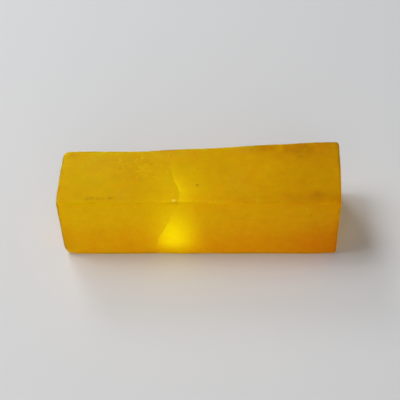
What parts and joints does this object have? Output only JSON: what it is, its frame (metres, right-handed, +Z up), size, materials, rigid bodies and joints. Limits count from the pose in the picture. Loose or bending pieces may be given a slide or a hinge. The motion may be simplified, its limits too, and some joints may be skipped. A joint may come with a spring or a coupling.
{
  "type": "clay bar",
  "caption": "Waxy translucent amber detailing clay bar, broken across into a long and a short piece that lie end to end and pull apart, with grit seated in its top face.",
  "frame": {"origin": "centre of the bar's footprint box, on the surface that it lies on", "axes": "+X along the bar towards its deeper end, +Y from the front face to the back face, +Z up"},
  "size_m": [0.1024, 0.0321, 0.0274],
  "materials": {
    "clay": "satin, waxy, translucent amber",
    "grit": "matte, amber-brown grains"
  },
  "bodies": {
    "long_piece": {"clay_long_piece": "clay", "grit_on_long_piece": "grit"},
    "short_piece": {"clay_short_piece": "clay", "grit_on_short_piece": "grit"}
  },
  "joints": [
    {"name": "pull_apart", "type": "slide", "parent": "long_piece", "child": "short_piece", "axis": [-1, 0, 0], "range_m": [0, 0.04]}
  ]
}
